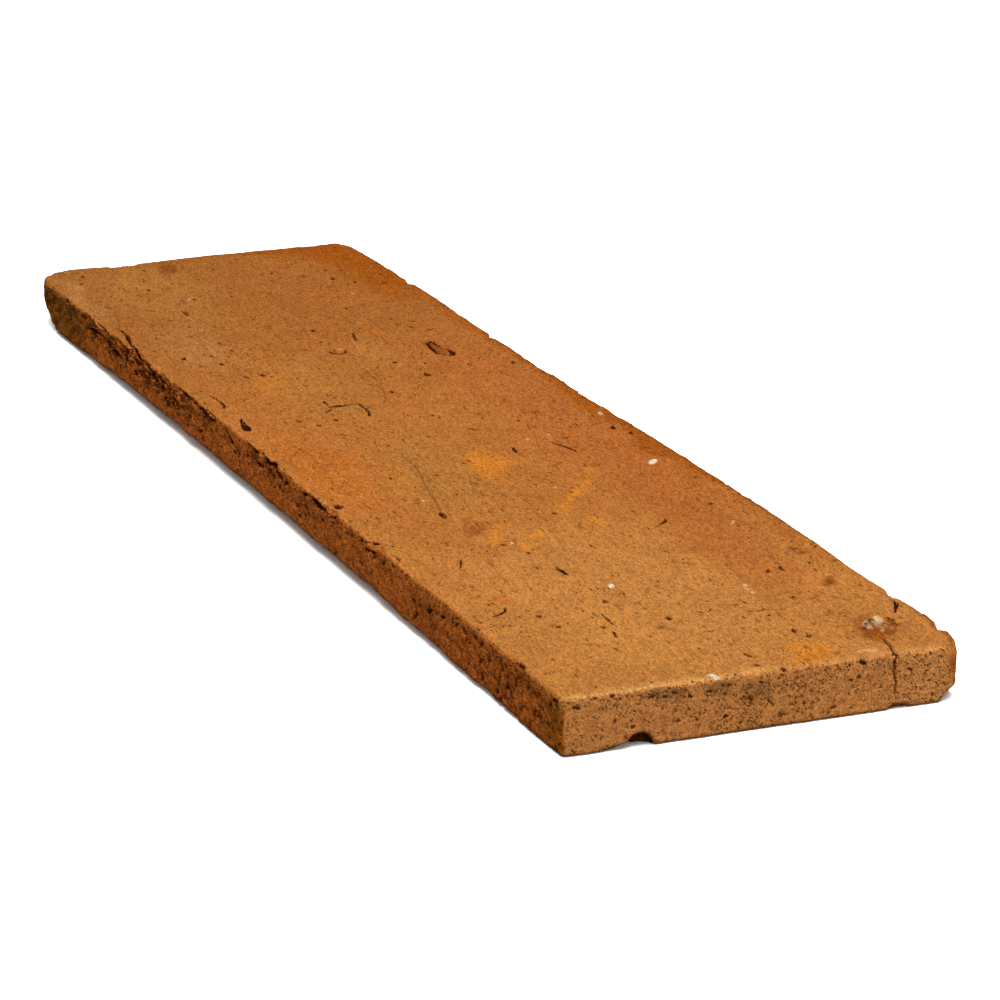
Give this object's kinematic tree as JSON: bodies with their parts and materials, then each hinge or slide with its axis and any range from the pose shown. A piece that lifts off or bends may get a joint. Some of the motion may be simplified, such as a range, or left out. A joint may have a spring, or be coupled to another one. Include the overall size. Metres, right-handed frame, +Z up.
{
  "type": "terracotta floor tile",
  "caption": "Long hand-made terracotta plank tile with a slightly crowned walking face, worn arrises, spalled corners and a bed lifted along one long side; laid as flooring.",
  "frame": {"origin": "centre of the bed that the tile lies on, at the middle of its length and width", "axes": "+X along the length towards the near end, +Y across the width towards the wavy back side, +Z up out of the walking face"},
  "size_m": [0.5998, 0.1532, 0.0216],
  "materials": {
    "terracotta": "unglazed matt fired clay, ochre-orange with sandy grain, pores, pale grit and stains"
  },
  "bodies": {
    "root": {"terracotta_tile": "terracotta"}
  },
  "joints": []
}
